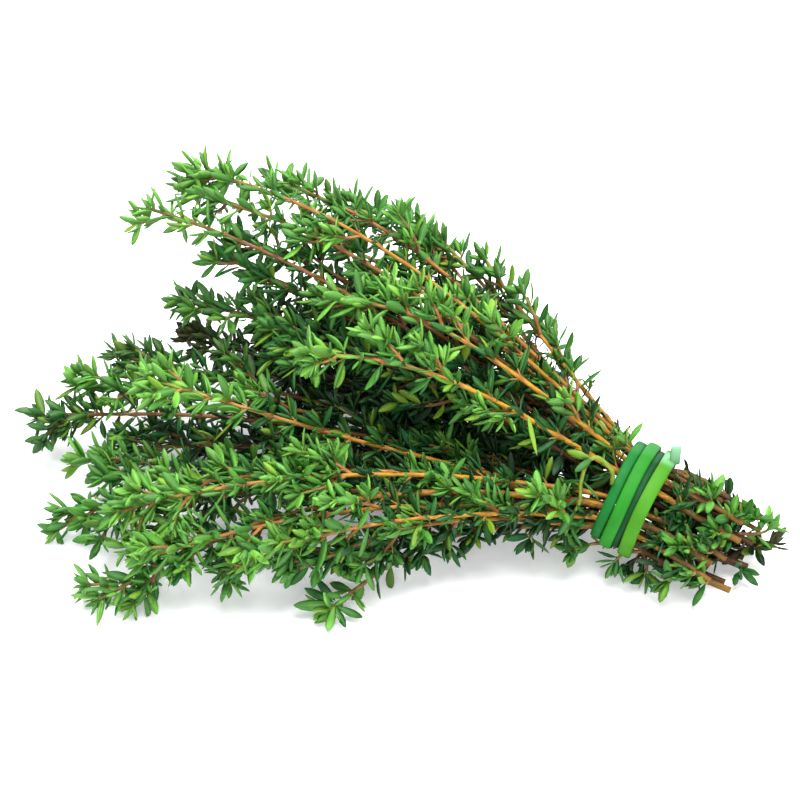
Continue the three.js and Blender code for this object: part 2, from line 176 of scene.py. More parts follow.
def lengths(line):
    """Distance along the line to each of its points."""
    return joined([[0], np.cumsum(norm(np.diff(line, axis=0), axis=1))])


def course(row, slot, index):
    """One stem from its cut end, through the tie, to its tip, and its radii."""
    draw = Draws(SEED_STEP * index + COURSE_SEED)
    held = TIE + RISE * slot[0] + SIDE * slot[1]
    front, back = held + AXIS * HOLD, held - AXIS * HOLD
    end = np.array(row[:3], float)
    tip = end + unit(front - end) * TIP_LEAF
    base = mix(*BASE_RADIUS, draw() ** 2)
    length = BUTT_SHORT + BUTT_SPREAD * draw()
    rise = BUTT_SPLAY * (draw() - 1 - BUTT_DROOP * slot[0] / TIE_RISE)
    side = BUTT_SPLAY * (slot[1] / TIE_SIDE + draw() - 0.5)
    aim = unit(BUTT_AIM + RISE * rise + SIDE * side)
    chord = tip - front
    across = unit(np.cross(UP, chord))
    bend = front + chord * BEND_PLACE + BEND_REACH * (across * SWAYS.get(index + 1, 0) + UP * row[3])
    phases = [2 * math.pi * draw(), 2 * math.pi * draw()]
    points = [back + aim * length * (1 - step / BUTT_POINTS) for step in range(BUTT_POINTS)]
    points += [back, held]
    for step in range(FAN_POINTS):
        t = step / (FAN_POINTS - 1)
        swell = math.sin(t * math.pi)
        point = (1 - t) ** 2 * front + 2 * t * (1 - t) * bend + t * t * tip
        point = point + across * WAVE_SIDE * swell * math.sin(WAVE_SIDE_TURNS * t + phases[0])
        point[2] += WAVE_RISE * swell * math.sin(WAVE_RISE_TURNS * t + phases[1])
        points.append(point)
    line = smoothed(points, COURSE_SMOOTHING, COURSE_SHARE)
    reach = lengths(line)
    return line, mix(TIP_RADIUS, base, (1 - reach / reach[-1]) ** TAPER)


def relax(lines, radii):
    """Pushes stems apart where they come close, except inside the tie."""
    stems, count = radii.shape
    owner = np.repeat(np.arange(stems), count)
    size = radii.ravel()
    need = size[:, None] + size[None] + STEM_GAP
    need[owner[:, None] == owner[None]] = 0
    held = slice(BUTT_POINTS, BUTT_POINTS + 3)
    for _ in range(RELAX_PASSES):
        points = lines.reshape(-1, 3)
        gap = points[:, None] - points[None]
        apart = np.sqrt(np.einsum("abi,abi->ab", gap, gap))
        share = PUSH_SHARE * np.clip(need - apart, 0, None) / np.maximum(apart, 1e-6)
        pushed = points + np.einsum("abi,ab->ai", gap, share)
        fresh = smoothed(pushed.reshape(lines.shape), 1, RELAX_SHARE)
        fresh[:, held] = lines[:, held]
        lift_to(fresh, FLOOR_PRESS * radii)
        lines = fresh
    return lines


def lean(forward, turn, angle):
    """A direction that leaves the stem at an angle, turned about it."""
    right = unit(np.cross(forward, UP))
    up = np.cross(right, forward)
    outward = right * math.cos(turn) + up * math.sin(turn)
    return forward * math.cos(angle) + outward * math.sin(angle)


def bent(at, forward, turn, angle, length, share):
    """Start, middle and end of a shoot that leaves a stem at an angle and bends forward."""
    aim = lean(forward, turn, angle)
    middle = at + aim * 0.5 * length
    return at, middle, middle + unit(mix(aim, forward, share)) * 0.5 * length


class Room:
    """The stems and shoots so far, as balls that new shoots keep clear of."""

    def __init__(self):
        self.at, self.radius, self.owner = np.zeros((0, 3)), np.zeros(0), np.zeros(0, int)

    @staticmethod
    def row(start, end, first, last):
        count = max(2, math.ceil(norm(end - start) / BALL_STEP) + 1)
        share = np.linspace(0, 1, count)[:, None]
        return mix(start, end, share), mix(first, last, share[:, 0])

    def fill(self, at, radius, owner):
        self.at = joined([self.at, at])
        self.radius = joined([self.radius, radius])
        self.owner = joined([self.owner, np.full(len(radius), owner)])

    def free(self, at, radius, owner):
        shift = at - TIE
        in_band = np.abs(shift @ AXIS) < BAND_HALF + radius + CLEAR
        if (in_band & (norm(shift, axis=1) < 2 * TIE_SIDE)).any():
            return False
        others = self.owner != owner
        gap = norm(at[:, None] - self.at[others][None], axis=2)
        return not (gap < radius[:, None] + self.radius[others][None] + CLEAR).any()


def own_shoot(room, line, owner):
    """The side shoot that this sprig's solid has, as three points, or None."""
    draw = Draws(SEED_STEP * owner + SHOOT_SEED)
    index = SHOOT_FROM + int(SHOOT_CHOICES * draw())
    step = line[index + 1] - line[index]
    at, forward = line[index] + step * draw(), unit(step)
    turn, length = SHOOT_TURN * draw(), draw(*SHOOT_LENGTH)
    for try_turn in TRY_TURNS:
        tried = turn + math.radians(try_turn)
        _, middle, end = bent(at, forward, tried, SHOOT_ANGLE, length, SHOOT_BEND)
        first = Room.row(at, middle, SHOOT_RADIUS, SHOOT_RADIUS)
        second = Room.row(middle, end, SHOOT_RADIUS, SHOOT_TAPER * SHOOT_RADIUS)
        balls, sizes = (joined(both) for both in zip(first, second))
        if end[2] > SHOOT_LOWEST and room.free(balls, sizes, owner):
            room.fill(balls, sizes, owner)
            return np.array([at, middle, end])
    return None


def stem_courses():
    """The relaxed line, radii and own shoot of every sprig."""
    places = slots()
    both = [course(row, places[index], index) for index, row in enumerate(SPRIGS)]
    radii = np.array([b[1] for b in both])
    lines = relax(np.array([b[0] for b in both]), radii)
    room = Room()
    for owner, line in enumerate(lines):
        for before, after in zip(RINGS, RINGS[1:]):
            balls = Room.row(line[before], line[after], radii[owner][before], radii[owner][after])
            room.fill(*balls, owner)
    shoots = [own_shoot(room, line[RINGS], owner) for owner, line in enumerate(lines)]
    return lines, radii, shoots


# ---- Growth of leaves and shoots

# How much darker each sprig's leaves are, added to their age, and how orange its stem is, ten to a row, and
# which tips wither. The darkening is partly the sprig's own colour and, for sprigs deep in the bunch, painted
# shade.
DARKER = [
    0, 0, 0, 0.1, 0.15, 0.15, 0.2, 0.2, 0.15, 0.15,
    0.1, 0, 0.25, 0.45, 0, 0, 0.15, 0.3, 0.5, 0.15,
    0.35, 0.05, 0.05, 0.25, 0.3, 0.05, 0, 0.05, 0.1, 0.2,
    0.5, 0.45, 0.5, 0.4,
]
ORANGE = [
    0.3, 0.3, 0.5, 0.3, 0.7, 0.8, 0.9, 0.8, 0.5, 0.3,
    0.8, 0.9, 0.3, 0.1, 1, 1, 0.3, 0.3, 0.4, 0.3,
    0.2, 0.9, 0.9, 0.4, 0.3, 0.6, 0.8, 1, 0.8, 0.6,
    0, 0, 0, 0,
]
WITHERED = {13: 0.1, 14: 0.85, 18: 0.35, 19: 0.15}
WITHER_BROAD, WITHER_REACH, WITHER_VARIES = 0.15, 26, (0.75, 1.1)

# What is kept of a leaf, and how it grows: most turn their face to the light.
LEAF = np.dtype([("root", float, 3), ("aim", float, 3), ("face", float, 3)] + [
    (name, float) for name in ("length", "width", "curl", "warp", "tone", "age", "wither")
])
LIGHT_SIDE = unit(np.array([0.1, -0.45, 0.9]))
TURNED_SHARE, LEAF_RISE, FACE_LEAST = 0.6, 0.14, 0.1
SLIM_YOUNG, SLIM_OLD, SLIM_RATE, SLIM_VARIES = 0.33, 0.22, 1.6, 0.14
TWIST, CURL_RANGE, WARP, PLACED_CURL = 1.3, (-0.8, 0.55), 0.5, 0.2

# Painted shade: leaves and bark that lie under other stems are drawn darker, the leaves as added age and the
# bark as lost orange. How wide and how high over them a stem counts.
COVER_SIDE = unit(np.array([0.05, -0.35, 0.93]))
COVER_WIDE, COVER_FROM, COVER_SOFT, COVER_RATE = 4.5, 3.5, 1.0, 0.3
PAINTED_SHADE_LEAVES, PAINTED_SHADE_BARK = 0.7, 0.85

# Main stems and side shoots: where leaves begin, steps between pairs of leaves near the tip and far from it,
# how far the young part reaches, the length of a leaf, how old leaves look at the tip and far from it.
MAIN = {"start": 1.5, "steps": (2.3, 6.4), "young": 50, "leaf": 7.8, "ages": (0.02, 0.8), "full": 55}
SIDE_SHOOT = {"start": 1.6, "steps": (2.0, 3.8), "young": 20, "leaf": 6.6, "ages": (0.08, 0.5), "full": 22}
FIRST_PAIR, BARE_STEP, ROOT_DEPTH = 1.6, 2.4, 0.5
PAIR_STEP, PAIR_TURN, PAIR_AGE = (0.8, 1.2), 0.25, 0.08
# How far leaves stand off near the tip and how much more after STAND_REACH, and how short they are there.
STAND, STAND_MORE, STAND_REACH, STAND_VARIES = 34, 24, 12, 14
SHORT, SHORT_RATE, LENGTH_VARIES = 0.7, 0.06, (0.84, 1.08)

# The star at a tip: each pair's angle and size, how deep it sits and how it varies.
ROSETTE = ((58, 0.94), (44, 0.86), (30, 0.7), (16, 0.52))
STAR_DEPTH, STAR_STEP, STAR_YOUNGER = 0.9, 0.25, 0.05
STAR_TURN, STAR_LENGTH, STAR_ANGLE = 0.3, (0.88, 1.1), 8

# Tufts in the leaf axils: where they grow, how likely a second and a third pair is, how they lean, how long
# they are for each pair, and how their leaves stand.
TUFT_FROM, TUFT_SHARE, SECOND_PAIR, PAIR_YOUNG = 4.5, 0.9, (0.3, 0.6), 0.5
TUFT_ASIDE, TUFT_ANGLE, TUFT_FOOT, TUFT_PAIR, TUFT_SWAY = 0.3, (0.5, 0.95), 0.4, (0.5, 0.95), (-0.1, 0.15)
TUFT_RADII, TUFT_YOUTH, TUFT_LEAF, TUFT_SMALLER = (0.3, 0.27, 0.2), (0.7, 0.95), (4.4, 6.4), 0.16
TUFT_TURN, TUFT_LEAF_ANGLE, TUFT_STEEPER = 0.4, (0.55, 1.0), 0.16
TUFT_LEAF_VARIES, TUFT_YOUNGER = (0.85, 1.1), 0.1

# Side shoots: how many, where they leave the stem, how long they are and how they stand. Fillers are the
# dark sprigs behind the others.
BRANCHES, BARE_BRANCHES, FILLER_BRANCHES, FIRST_FILLER = 6, 3, 20, 31
BRANCH_FROM, BRANCH_TO, TIP_PLACES, BUTT_PLACES = 12, 0.76, (3, 12), (1, 9)
BRANCH_LENGTH, FILLER_LENGTH, TIP_BRANCH_LENGTH, BUTT_BRANCH_LENGTH = (5, 13), (8, 20), (4, 8), (2, 4)
BRANCH_ANGLE, TIP_BRANCH_ANGLE, BUTT_BRANCH_ANGLE = (0.5, 0.9), (0.6, 0.95), (1.2, 2.1)
TIP_BRANCHES, BUTT_DARKER = 2, 0.12
BRANCH_YOUTH, BRANCH_RADII, BRANCH_WITHER = (0.74, 1.0), (0.42, 0.26), 0.5
BRANCH_BEND, BRANCH_LOWEST, MIDDLE_LOWEST, BRANCH_STEPS = 0.45, 2.0, 1.5, 5
ANY_TURN, DOWN_TURN = (0, 2 * math.pi), (math.pi, 2 * math.pi)
FRONT_TURN = (0.45 * math.pi, 1.15 * math.pi)
STEM_STEPS = 4
STEM_SHARE = 0.78  # the solid's four-sided stems are that much narrower than their corners

# The sprigs up to LAST_EDGE are the bunch's upper edge, and their side shoots hang down. Their leaves get
# shorter between two distances from the tip, sooner on the bare ones.
LAST_EDGE, EDGE_SHORT, EDGE_SPAN = 8, 0.5, (12, 50)
FIRST_BARE_EDGE, BARE_EDGE_SPAN = 7, (4, 24)
# Sprigs with a habit of their own: side shoots, share of axils with a tuft and size of the star at the tip.
SPRIG_HABITS = {
    1: (1, 0.6, 0.75), 2: (5, 0.9, 0.85), 5: (3, 0.6, 0.85), 6: (3, 0.45, 0.8), 7: (2, 0.35, 0.7),
    8: (2, 0.35, 0.75), 13: (9, 0.9, 1.0), 14: (8, 0.7, 0.8), 19: (2, 0.6, 1.0), 28: (0, 0.5, 1.2),
}
# Side shoots that the photo shows: where each one ends, by sprig. Each leaves its stem REACH_BACK of its
# length further back, and bends.
REACH_BACK, PLACED_BEND = 0.8, 0.15
PLACED_SHOOTS = {
    1: [(84, -18, 11)], 13: [(-51, 42, 27), (-34, 35, 28), (-24, 40, 28), (-42, 34, 30), (-29, 40, 31)],
    14: [(5, 23, 14), (-42, 38, 18), (85, -18, 6)], 17: [(14, 9, 14), (-54, 16, 18), (-68, 19, 17)],
    18: [(-21, 27, 12), (-17, 22, 14)], 19: [(-85, 15, 9), (-79, 16, 12)], 20: [(-69, 12, 8)],
    21: [(-56, 18, 9), (-48, 20, 10), (-42, 15, 11), (77, -25, 4)], 22: [(-58, -27, 18), (-50, -27, 20)],
    24: [(-68, -20, 9), (-72, -12, 8), (-56, -22, 10), (-45, -17, 12), (-38, -16, 14)],
    25: [(51.5, -23, 4), (16, -21, 11)], 26: [(-38, -31, 6), (-50, -31, 11), (-47, -32, 13)],
    27: [(-61, -27, 14), (-50, -24, 16), (-45, -25, 18), (-34, -33, 18)],
    28: [(29, -19, 8), (39, -22, 8), (11, -22, 9), (5, -24, 8), (-6, -22, 8), (55, -26, 3.5)],
    29: [(-40, -31, 9), (-24, -31, 14), (-12, -29, 16)], 30: [(48, -24, 6), (-13, -26, 10), (-3, -26, 12)],
    31: [(19, 12, 14), (14, 12, 11), (0, 33, 12), (-8, 32, 12), (81, -18, 5)],
    32: [(0, 21, 22), (-4, 9, 22), (7, 3, 22)], 33: [(-24, 24, 12), (-27, 22, 12), (-4, 20, 12), (3, 18, 12)],
    34: [(-14, 42, 22), (-7, 35, 22), (-7, 20, 22)],
}

# Seen from the front: a curled thin shoot before the tie with its leaves, and a few single leaves, each with
# its sprig, root, tip, width as a share of its length, tone and age.
CURL_SPRIG, CURL_RADII, CURL_AGE = 30, (0.55, 0.35), 0.2
CURL = [
    (47.0, -17.5, 24.0), (46.6, -18.6, 29.0), (43.4, -18.3, 32.5), (41.0, -19.0, 31.5),
    (39.8, -20.3, 27.0), (39.7, -21.2, 22.0), (38.3, -20.6, 17.0), (36.7, -21.7, 11.0),
]
CURL_LEAVES, CURL_TURN = (0.33, 0.5, 0.62, 0.74, 0.86, 0.97), 0.5
CURL_ANGLE, CURL_LENGTH = (0.5, 0.9), (6, 8)
STRAY_LEAVES = [
    (8, (30.2, -16.3, 31.0), (27.9, -10.3, 38.0), 0.13, 1.0, 0.0),
    (12, (24.5, 1.0, 36.0), (23.5, 3.5, 41.0), 0.85, 0.2, 0.8),
    (28, (-14.5, -35.0, 3.8), (-24, -35.5, 3.5), 0.28, 0.5, 0.25),
    (28, (-14.7, -35.2, 3.6), (-16.3, -41.3, 1.2), 0.3, 0.6, 0.1),
    (28, (-15, -34.8, 4.2), (-19.5, -38.6, 2), 0.26, 0.7, 0.05),
    (28, (-14.2, -35.2, 3.4), (-8.5, -37.2, 1.5), 0.3, 0.3, 0.4),
    (28, (-14.4, -35.2, 3.4), (-12.2, -40.2, 1.2), 0.27, 0.2, 0.5),
    (28, (-14.8, -34.6, 4), (-21.6, -31.5, 5), 0.28, 0.3, 0.45),
    (28, (-14.5, -34.5, 4.2), (-18.9, -30.5, 7), 0.3, 0.2, 0.55),
]


def curve_through(points, steps):
    """A smooth line through the points, with that many steps between two of them."""
    ends = joined([[2 * points[0] - points[1]], points, [2 * points[-1] - points[-2]]])
    line = []
    for a, b, c, d in zip(ends, ends[1:], ends[2:], ends[3:]):
        for step in range(steps):
            t = step / steps
            square = 2 * a - 5 * b + 4 * c - d
            line.append(0.5 * (2 * b + (c - a) * t + square * t * t + (3 * b - a - 3 * c + d) * t ** 3))
    line.append(points[-1])
    return np.array(line)


class Line:
    """A course with its place, direction and radius at any distance along it."""

    def __init__(self, points, radii):
        self.points, self.radii = points, radii
        self.reach = lengths(points)
        self.total = self.reach[-1]

    def at(self, distance):
        place = np.array([np.interp(distance, self.reach, self.points[:, k]) for k in range(3)])
        index = int(np.clip(np.searchsorted(self.reach, distance), 1, len(self.points) - 1))
        forward = unit(self.points[index] - self.points[index - 1])
        return place, forward, float(np.interp(distance, self.reach, self.radii))


# A stem or shoot: its course, how young its ends are, from 0 at an old cut end to 1 at a tip, how withered it
# is and where its leaves leave it.
Tube = collections.namedtuple("Tube", "line radii youth wither nodes main", defaults=(0.0, (), False))


class Sprig:
    """A leafy stem as it grows: its looks and habits, and its leaves and tubes so far."""

    def __init__(self, number):
        self.number, self.leaves, self.tubes = number, [], []
        self.darker, self.orange = DARKER[number - 1], ORANGE[number - 1]
        self.withered = WITHERED.get(number, 0.0)
        usual = round(mix(BRANCHES, BARE_BRANCHES, self.orange))
        if number >= FIRST_FILLER:
            usual = FILLER_BRANCHES
        self.branches, self.tufted, self.star = SPRIG_HABITS.get(number, (usual, TUFT_SHARE, 1.0))

    def leaf(self, draw, root, forward, turn, angle, length, age, wither=0.0):
        """Adds a leaf that leaves its stem at an angle, turned about it."""
        aim = unit(lean(forward, turn, angle) + UP * LEAF_RISE)
        face = forward - aim * (aim @ forward)
        if norm(face) < FACE_LEAST:
            face = UP - aim * (aim @ UP)
        face = unit(face)
        twist = draw.either(TWIST)
        across = np.cross(aim, face)
        if (across @ LIGHT_SIDE) * twist < 0 and draw() < TURNED_SHARE:
            twist = -twist
        face = face * math.cos(twist) + across * math.sin(twist)
        slim = mix(SLIM_YOUNG, SLIM_OLD, min(max(age * SLIM_RATE, 0.0), 1.0))
        width = length * slim * (1 + draw(-1, 1) * SLIM_VARIES) * (1 + WITHER_BROAD * wither)
        curl, warp, tone = draw(*CURL_RANGE), draw.either(WARP), draw()
        # darker is partly the sprig's own colour and partly painted shade for sprigs deep in the bunch.
        shown = float(np.clip(age + self.darker, 0, 1))
        self.leaves.append((root, aim, face, length, width, curl, warp, tone, shown, wither))

    def placed_leaf(self, root, tip, slim, tone, age):
        """Adds a leaf between two places that faces the light."""
        step = np.array(tip) - root
        length, aim = float(norm(step)), unit(step)
        face = unit(LIGHT_SIDE - aim * (aim @ LIGHT_SIDE))
        self.leaves.append((root, aim, face, length, length * slim, PLACED_CURL, 0.0, tone, age, 0.0))


def edge_share(sprig, distance):
    """How long leaves are, as a share, at that distance from the tip of a main stem."""
    if sprig.number > LAST_EDGE:
        return 1.0
    span = BARE_EDGE_SPAN if sprig.number >= FIRST_BARE_EDGE else EDGE_SPAN
    return 1 - EDGE_SHORT * smoothstep(distance, *span)


def tuft(sprig, draw, root, forward, turn, pairs, age, wither, share):
    """A short shoot in the axil of a leaf: a thin stem with a few pairs of small leaves."""
    aim = lean(forward, turn, draw(*TUFT_ANGLE))
    length = TUFT_FOOT + pairs * draw(*TUFT_PAIR)
    end = root + aim * length
    middle = root + aim * 0.5 * length + forward * draw(*TUFT_SWAY)
    sprig.tubes.append(Tube(np.array([root, middle, end]), np.array(TUFT_RADII), TUFT_YOUTH, wither))
    for pair in range(pairs):
        at = mix(root, end, (pair + 1) / pairs)
        size = draw(*TUFT_LEAF) * (1 - TUFT_SMALLER * pair) * share
        younger = age - TUFT_YOUNGER * (1 + pair)
        for side in range(2):
            spin = turn + QUARTER * (pair % 2) + side * math.pi + draw.either(TUFT_TURN)
            angle = draw(*TUFT_LEAF_ANGLE) - TUFT_STEEPER * pair
            sprig.leaf(draw, at, aim, spin, angle, size * draw(*TUFT_LEAF_VARIES), younger, wither)


def leafy(sprig, draw, line, plan):
    """Adds pairs of leaves from a line's tip to its start, each square to the last, and gives their places."""
    nodes = []
    distance, number = FIRST_PAIR, int(4 * draw())
    spin = draw(0, math.pi)
    near, far = plan["steps"]
    far += BARE_STEP * sprig.orange if plan is MAIN else 0
    while distance < line.total - plan["start"]:
        nearness = min(distance / plan["young"], 1.0)
        share = edge_share(sprig, distance) if plan is MAIN else 1.0
        at, forward, radius = line.at(line.total - distance)
        wither = sprig.withered * max(0.0, 1 - distance / WITHER_REACH)
        age = mix(*plan["ages"], min(distance / plan["full"], 1.0)) + draw.either(PAIR_AGE)
        for side in range(2):
            turn = spin + QUARTER * (number % 2) + side * math.pi + draw.either(PAIR_TURN)
            stand = STAND + STAND_MORE * min(distance / STAND_REACH, 1.0) + draw.either(STAND_VARIES)
            short = min(1.0, SHORT + SHORT_RATE * distance)
            length = plan["leaf"] * short * draw(*LENGTH_VARIES) * share
            root = at + lean(forward, turn, QUARTER) * radius * ROOT_DEPTH
            withered = wither * draw(*WITHER_VARIES)
            sprig.leaf(draw, root, forward, turn, math.radians(stand), length, age, withered)
            if distance > TUFT_FROM and draw() < sprig.tufted:
                pairs = 1 + (draw() < SECOND_PAIR[0] + SECOND_PAIR[1] * nearness)
                pairs += draw() < PAIR_YOUNG * nearness
                aside = turn + draw.either(TUFT_ASIDE)
                tuft(sprig, draw, root, forward, aside, pairs, age, wither, share)
        nodes.append(line.total - distance)
        distance += mix(near, far, nearness) * draw(*PAIR_STEP)
        number += 1
    rosette(sprig, draw, line, spin, plan)
    return nodes


def rosette(sprig, draw, line, spin, plan):
    """The open star at a tip: pairs of leaves, steeper towards its middle."""
    at, forward, _ = line.at(line.total)
    star = sprig.star if plan is MAIN else 1.0
    age = plan["ages"][0] - STAR_YOUNGER
    for row, (angle, share) in enumerate(ROSETTE):
        root = at - forward * (STAR_DEPTH - STAR_STEP * row)
        for side in range(2):
            turn = spin + math.pi * side + QUARTER * row + draw.either(STAR_TURN)
            length = plan["leaf"] * share * draw(*STAR_LENGTH) * star
            stand = math.radians(angle + draw.either(STAR_ANGLE))
            sprig.leaf(draw, root, forward, turn, stand, length, age, sprig.withered)


def branch(sprig, draw, line, distance, sizes, angles, turns):
    """A leafy side shoot that leaves the line at that distance and turns forward."""
    length, angle, turn = draw(*sizes), draw(*angles), draw(*turns)
    at, forward, _ = line.at(distance)
    at, middle, end = bent(at, forward, turn, angle, length, BRANCH_BEND)
    end[2], middle[2] = max(end[2], BRANCH_LOWEST), max(middle[2], MIDDLE_LOWEST)
    grow_branch(sprig, draw, [at, middle, end])


def placed_branch(sprig, draw, line, end):
    """A leafy side shoot that ends at a given place and leaves the line clear of the band."""
    end = np.array(end, float)
    gaps = norm(line.points - end, axis=1)
    near = int(gaps.argmin())
    tie = line.reach[int(np.abs((line.points - TIE) @ AXIS).argmin())]
    outward = 1 if line.reach[near] < tie - BAND_HALF else -1
    distance = line.reach[near] + outward * REACH_BACK * gaps[near]
    beside = BAND_HALF + 2 * CLEAR
    if abs(distance - tie) < beside:
        distance = tie - beside
    at, forward, _ = line.at(distance)
    middle = (at + end) / 2 - outward * forward * PLACED_BEND * norm(end - at)
    grow_branch(sprig, draw, [at, middle, end])


def grow_branch(sprig, draw, points):
    points = curve_through(np.array(points), BRANCH_STEPS)
    radii = np.linspace(*BRANCH_RADII, len(points))
    nodes = leafy(sprig, draw, Line(points, radii), SIDE_SHOOT)
    sprig.tubes.append(Tube(points, radii, BRANCH_YOUTH, sprig.withered * BRANCH_WITHER, nodes))


def grow(number, points, radii, shoot):
    """A whole sprig: its stem, its side shoots and all its leaves."""
    sprig = Sprig(number)
    draw = Draws(SEED_STEP * number + GROWTH_SEED)
    fine = np.arange((len(points) - 1) * STEM_STEPS + 1) / STEM_STEPS
    thick = STEM_SHARE * np.interp(fine, np.arange(len(points)), radii)
    main = Line(curve_through(points, STEM_STEPS), thick)
    nodes = leafy(sprig, draw, main, MAIN)
    sprig.tubes.append(Tube(main.points, main.radii, (0.0, 1.0), sprig.withered, nodes, main=True))
    if shoot is not None:
        grow_branch(sprig, draw, shoot)
    turns = DOWN_TURN if number <= LAST_EDGE else ANY_TURN
    sizes = FILLER_LENGTH if number >= FIRST_FILLER else BRANCH_LENGTH
    for _ in range(sprig.branches):
        place = main.total - draw(BRANCH_FROM, BRANCH_TO * main.total)
        branch(sprig, draw, main, place, sizes, BRANCH_ANGLE, turns)
    for _ in range(min(TIP_BRANCHES, sprig.branches)):
        branch(sprig, draw, main, main.total - draw(*TIP_PLACES), TIP_BRANCH_LENGTH, TIP_BRANCH_ANGLE, turns)
    for end in PLACED_SHOOTS.get(number, ()):
        placed_branch(sprig, draw, main, end)
    sprig.darker += BUTT_DARKER
    branch(sprig, draw, main, draw(*BUTT_PLACES), BUTT_BRANCH_LENGTH, BUTT_BRANCH_ANGLE, FRONT_TURN)
    return sprig


def add_strays(sprig):
    """The few shoots and leaves that stand out in front of the bunch."""
    if sprig.number == CURL_SPRIG:
        draw = Draws(SEED_STEP * sprig.number)
        points = curve_through(np.array(CURL), BRANCH_STEPS)
        line = Line(points, np.linspace(*CURL_RADII, len(points)))
        sprig.tubes.append(Tube(points, line.radii, (1.0, 1.0)))
        for share in CURL_LEAVES:
            at, forward, _ = line.at(share * line.total)
            for side in range(2):
                turn = side * math.pi + draw.either(CURL_TURN)
                sprig.leaf(draw, at, forward, turn, draw(*CURL_ANGLE), draw(*CURL_LENGTH), CURL_AGE)
    for number, *leaf in STRAY_LEAVES:
        if sprig.number == number:
            sprig.placed_leaf(*leaf)


def shade_under_stems(points, stems):
    """How deep each point lies under other stems, from 0 to 1, which sets its painted shade."""
    away = stems[None] - points[:, None]
    high = away @ COVER_SIDE
    wide = (away ** 2).sum(2) - high ** 2
    count = np.exp(-wide / COVER_WIDE ** 2) / (1 + np.exp((COVER_FROM - high) / COVER_SOFT))
    return 1 - np.exp(-COVER_RATE * count.sum(1))


# ---- Leaves as meshes

# A leaf's rows, as shares of its length, its half width there as a share of the widest, and the places round
# a row: across and how high, as shares of the half width, and 1 for the keel below. Unrolled, a row's edges
# lie at these shares of the map's width.
LARGE_LEAF = {
    "rows": (0.08, 0.22, 0.42, 0.62, 0.82, 0.94),
    "half": (0.22, 0.64, 0.95, 1.0, 0.74, 0.36),
    "across": np.array([-1, -0.55, 0, 0.55, 1, 0]),
    "lift": np.array([-0.26, 0.14, -0.14, 0.14, -0.26, -0.2]),
    "under": np.array([0, 0, 0, 0, 0, 1]),
    "unrolled": (0, 0.13, 0.26, 0.39, 0.52, 0.76, 1.0),
}
SMALL_LEAF = {
    "rows": (0.14, 0.42, 0.68, 0.9),
    "half": (0.36, 0.96, 0.94, 0.46),
    "across": np.array([-1, 0, 1, 0]),
    "lift": np.array([-0.18, 0.1, -0.18, -0.2]),
    "under": np.array([0, 0, 0, 1]),
    "unrolled": (0, 0.25, 0.5, 0.75, 1.0),
}
LARGE_FROM = 6.2
KEEL, KEEL_LEAST, CURL_LEAST = 0.3, 0.08, 0.05
LIMIT = 0.022  # how far a leaf may pass the solids' box, as a share of each side
FLOOR_LIFT, FLOOR_LEAST = 0.4, 0.05
BAND_SPARE, BAND_ROUND = 0.4, 2.4
CELL_GAP, CELL_SHAPE = 0.06, 1.5


def skin(rings, sides):
    """Faces of a closed skin: a point, rings and a point. Each corner is a vertex, its place round the skin
    in sides and its place along it in rings."""
    faces, last = [], 1 + rings * sides
    for j in range(sides):
        k = (j + 1) % sides
        faces.append([(0, j + 0.5, 0), (1 + k, j + 1, 1), (1 + j, j, 1)])
        for ring in range(1, rings):
            a, b = 1 + (ring - 1) * sides, 1 + ring * sides
            near = [(a + j, j, ring), (a + k, j + 1, ring)]
            faces.append(near + [(b + k, j + 1, ring + 1), (b + j, j, ring + 1)])
        a = last - sides
        faces.append([(a + j, j, rings), (a + k, j + 1, rings), (last, j + 0.5, rings + 1)])
    return faces


def leaf_skin(shape):
    """What leaves of one shape share: faces, each corner's place on the unrolled leaf, and each vertex's
    place on the blade and share of underside."""
    rows, edges, heights = shape["rows"], shape["unrolled"], (0, *shape["rows"], 1)
    corners = skin(len(rows), len(shape["across"]))
    faces = [[vertex for vertex, _, _ in face] for face in corners]
    places = [
        [((edges[math.floor(x)] + edges[math.ceil(x)]) / 2, heights[y]) for _, x, y in face]
        for face in corners
    ]
    blade = np.array([(0, 0, 0), *((x, y, 0) for y in rows for x in shape["across"]), (0, 1, 0)])
    return faces, places, blade, (0, *np.tile(shape["under"], len(rows)), 0)


def leaf_frame(leaves, share):
    """Centre line, sideways and upward directions of all leaves at that share of their length."""
    aim, face = leaves["aim"], leaves["face"]
    curl = np.where(np.abs(leaves["curl"]) < CURL_LEAST, CURL_LEAST, leaves["curl"])[:, None]
    bend, spin = curl * share, leaves["warp"][:, None] * share
    forward, raised = np.sin(bend) / curl, (1 - np.cos(bend)) / curl
    centre = leaves["root"] + (aim * forward + face * raised) * leaves["length"][:, None]
    across, normal = np.cross(aim, face), face * np.cos(bend) - aim * np.sin(bend)
    side = across * np.cos(spin) + normal * np.sin(spin)
    return centre, side, normal * np.cos(spin) - across * np.sin(spin)


def lift_to(points, least):
    points[..., 2] = np.maximum(points[..., 2], least)


def leaf_points(leaves, shape):
    """Vertices of all leaves at once: the root, ring after ring and the tip, all above the floor."""
    points = [leaves["root"][:, None]]
    for share, wide in zip(shape["rows"], shape["half"]):
        centre, side, up = leaf_frame(leaves, share)
        reach = leaves["width"][:, None] * wide / 2
        ring = centre[:, None] + side[:, None] * (shape["across"] * reach)[..., None]
        lift_to(ring, FLOOR_LIFT)
        lift = shape["lift"] * reach - shape["under"] * (KEEL * reach + KEEL_LEAST)
        ring = ring + up[:, None] * lift[..., None]
        lift_to(ring, FLOOR_LEAST)
        points.append(ring)
    tip = leaf_frame(leaves, 1.0)[0]
    lift_to(tip, FLOOR_LIFT)
    return joined([*points, tip[:, None]], 1)


